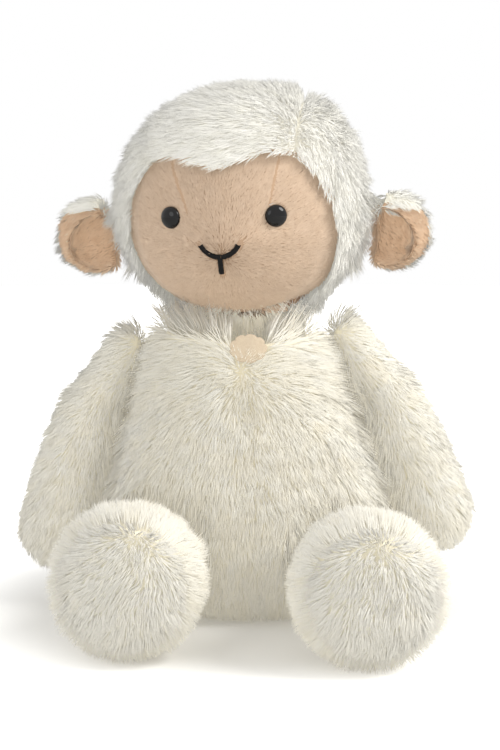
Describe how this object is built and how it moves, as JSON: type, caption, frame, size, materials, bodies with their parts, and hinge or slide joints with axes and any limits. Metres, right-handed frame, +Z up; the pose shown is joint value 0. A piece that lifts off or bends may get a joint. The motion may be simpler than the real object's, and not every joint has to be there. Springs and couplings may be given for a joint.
{
  "type": "plush sheep",
  "caption": "Seated stuffed sheep of pile fabric, with a woolly cap, paddle ears, hanging arms, forward legs with round feet, plastic eyes and a beaned seat.",
  "frame": {"origin": "middle of the flat seat panel, on the surface that the toy sits on", "axes": "+Z up, the face towards -Y, the sheep's own left side towards +X"},
  "size_m": [0.2322, 0.2196, 0.2636],
  "materials": {
    "body_plush": "long cream pile, soft and matt",
    "wool_plush": "dense white woolly pile, matt",
    "face_plush": "short peach pile, matt",
    "patch_felt": "smooth pale felt, bare",
    "filling": "polyester fibre",
    "bean_bag": "plain lining cloth round plastic beans",
    "thread": "black satin stitch",
    "eye_plastic": "polished black",
    "washer_plastic": "translucent white, as moulded"
  },
  "bodies": {
    "torso": {"seat_panel": "body_plush", "body_back": "body_plush", "body_front_left": "body_plush", "body_front_right": "body_plush", "body_filling": "filling", "seat_bean_bag": "bean_bag", "chest_patch": "patch_felt"},
    "neck": {"neck_filling": "filling"},
    "head": {"head_filling": "filling", "wool_gusset": "wool_plush", "wool_left": "wool_plush", "wool_right": "wool_plush", "face_gusset": "face_plush", "face_left": "face_plush", "face_right": "face_plush", "mouth_stitch": "thread", "eye_left": "eye_plastic", "eye_right": "eye_plastic", "eye_washer_left": "washer_plastic", "eye_washer_right": "washer_plastic"},
    "ear_left": {"ear_left_back": "body_plush", "ear_left_lining": "face_plush"},
    "ear_right": {"ear_right_back": "body_plush", "ear_right_lining": "face_plush"},
    "arm_left": {"arm_left_cover": "body_plush", "arm_left_filling": "filling"},
    "arm_right": {"arm_right_cover": "body_plush", "arm_right_filling": "filling"},
    "leg_left": {"leg_left_cover": "body_plush", "leg_left_sole": "body_plush", "leg_left_filling": "filling"},
    "leg_right": {"leg_right_cover": "body_plush", "leg_right_sole": "body_plush", "leg_right_filling": "filling"},
    "tail": {"tail": "body_plush"}
  },
  "joints": [
    {"name": "head_turn", "type": "hinge", "parent": "torso", "child": "neck", "pos_m": [-0.003, 0.002, 0.159], "axis": [0, 0, 1], "range_deg": [-30, 30]},
    {"name": "head_nod", "type": "hinge", "parent": "neck", "child": "head", "pos_m": [-0.003, 0.002, 0.159], "axis": [0.9844, -0.1736, 0.0297], "range_deg": [-8, 8]},
    {"name": "ear_left_flop", "type": "hinge", "parent": "head", "child": "ear_left", "pos_m": [0.05352, -0.00289, 0.19319], "axis": [0.4066, 0.9136, 0.0072], "range_deg": [-15, 15]},
    {"name": "ear_right_flop", "type": "hinge", "parent": "head", "child": "ear_right", "pos_m": [-0.05968, 0.01707, 0.18978], "axis": [-0.0697, 0.9975, -0.0072], "range_deg": [-15, 15]},
    {"name": "arm_left_lift", "type": "hinge", "parent": "torso", "child": "arm_left", "pos_m": [0.04837, 0, 0.13469], "axis": [-0.6587, -0.7071, -0.2572], "range_deg": [0, 80]},
    {"name": "arm_right_lift", "type": "hinge", "parent": "torso", "child": "arm_right", "pos_m": [-0.06046, 0, 0.12972], "axis": [-0.6794, 0.7071, 0.196], "range_deg": [0, 80]},
    {"name": "leg_left_lift", "type": "hinge", "parent": "torso", "child": "leg_left", "pos_m": [0.04458, -0.03798, 0.031], "axis": [-0.9945, -0.1045, 0], "range_deg": [-10, 20]},
    {"name": "leg_right_lift", "type": "hinge", "parent": "torso", "child": "leg_right", "pos_m": [-0.04742, -0.02298, 0.031], "axis": [-0.9945, 0.1045, 0], "range_deg": [-10, 20]},
    {"name": "tail_lift", "type": "hinge", "parent": "torso", "child": "tail", "pos_m": [-0.00238, 0.05898, 0.052], "axis": [1, 0, 0], "range_deg": [0, 20]}
  ]
}
